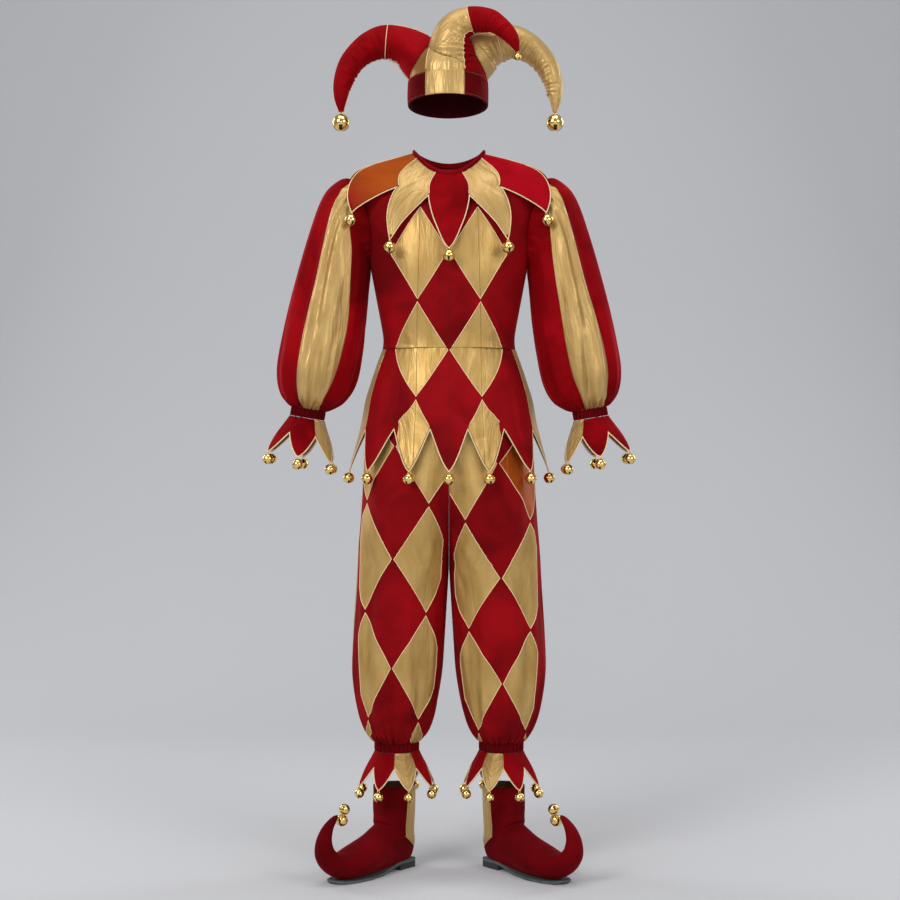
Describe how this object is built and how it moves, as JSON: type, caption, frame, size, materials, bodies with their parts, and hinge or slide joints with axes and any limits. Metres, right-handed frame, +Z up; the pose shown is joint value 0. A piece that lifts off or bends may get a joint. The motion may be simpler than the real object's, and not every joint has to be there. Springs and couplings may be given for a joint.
{
  "type": "jester costume",
  "caption": "Jester costume in its worn form: horned hat, tunic with pointed collar and peplum, full trousers and curled-toe boots, edged with piping and bells.",
  "frame": {"origin": "middle of the neck opening, where the neck meets the shoulders", "axes": "+Z up, the costume faces -Y, +X to the right of a viewer who faces it"},
  "size_m": [0.7538, 0.362, 1.7511],
  "materials": {
    "red_velvet": "soft pile with a sheen at grazing angles",
    "gold_satin": "lustrous satin with bright broken highlights",
    "red_elastic": "ribbed elastic knit",
    "red_binding": "bias binding",
    "gold_piping": "pale gold piping cord with brass bells sewn to it",
    "bell_brass": "polished",
    "sole_rubber": "matt grey-green sole",
    "heel_rubber": "matt charcoal heel block"
  },
  "bodies": {
    "root": {"hat_band_gold": "gold_satin", "hat_crown": "gold_satin", "hat_horn_front": "gold_satin", "hat_horn_right": "gold_satin", "hat_band_red": "red_velvet", "hat_horn_left": "red_velvet", "bodice_front": "red_velvet", "bodice_back": "red_velvet", "peplum_front": "red_velvet", "peplum_back": "red_velvet", "neck_binding": "red_binding", "peplum_left": "gold_satin", "peplum_right": "gold_satin", "hat_bell_front": "bell_brass", "hat_bell_left": "bell_brass", "hat_bell_right": "bell_brass", "collar_front": "red_velvet", "collar_gold_front_right": "gold_satin", "collar_shoulder_right": "red_velvet", "collar_gold_back_right": "gold_satin", "collar_back": "red_velvet", "collar_gold_back_left": "gold_satin", "collar_shoulder_left": "red_velvet", "collar_gold_front_left": "gold_satin", "collar_trim": "gold_piping", "peplum_trim": "gold_piping", "cuff_trim_left": "gold_piping", "cuff_trim_right": "gold_piping", "ankle_trim_left": "gold_piping", "ankle_trim_right": "gold_piping", "sleeve_left_gold": "gold_satin", "sleeve_left_red": "red_velvet", "cuff_band_left": "red_elastic", "cuff_frill_left": "red_velvet", "trousers_front_left": "red_velvet", "trousers_back_left": "red_velvet", "ankle_band_left": "red_elastic", "ankle_frill_left": "red_velvet", "boot_left_upper": "red_velvet", "boot_left_stripe": "gold_satin", "boot_left_sole": "sole_rubber", "boot_left_heel": "heel_rubber", "boot_left_bells": "bell_brass", "sleeve_right_gold": "gold_satin", "sleeve_right_red": "red_velvet", "cuff_band_right": "red_elastic", "cuff_frill_right": "red_velvet", "trousers_front_right": "red_velvet", "trousers_back_right": "red_velvet", "ankle_band_right": "red_elastic", "ankle_frill_right": "red_velvet", "boot_right_upper": "red_velvet", "boot_right_stripe": "gold_satin", "boot_right_sole": "sole_rubber", "boot_right_heel": "heel_rubber", "boot_right_bells": "bell_brass"}
  },
  "joints": []
}
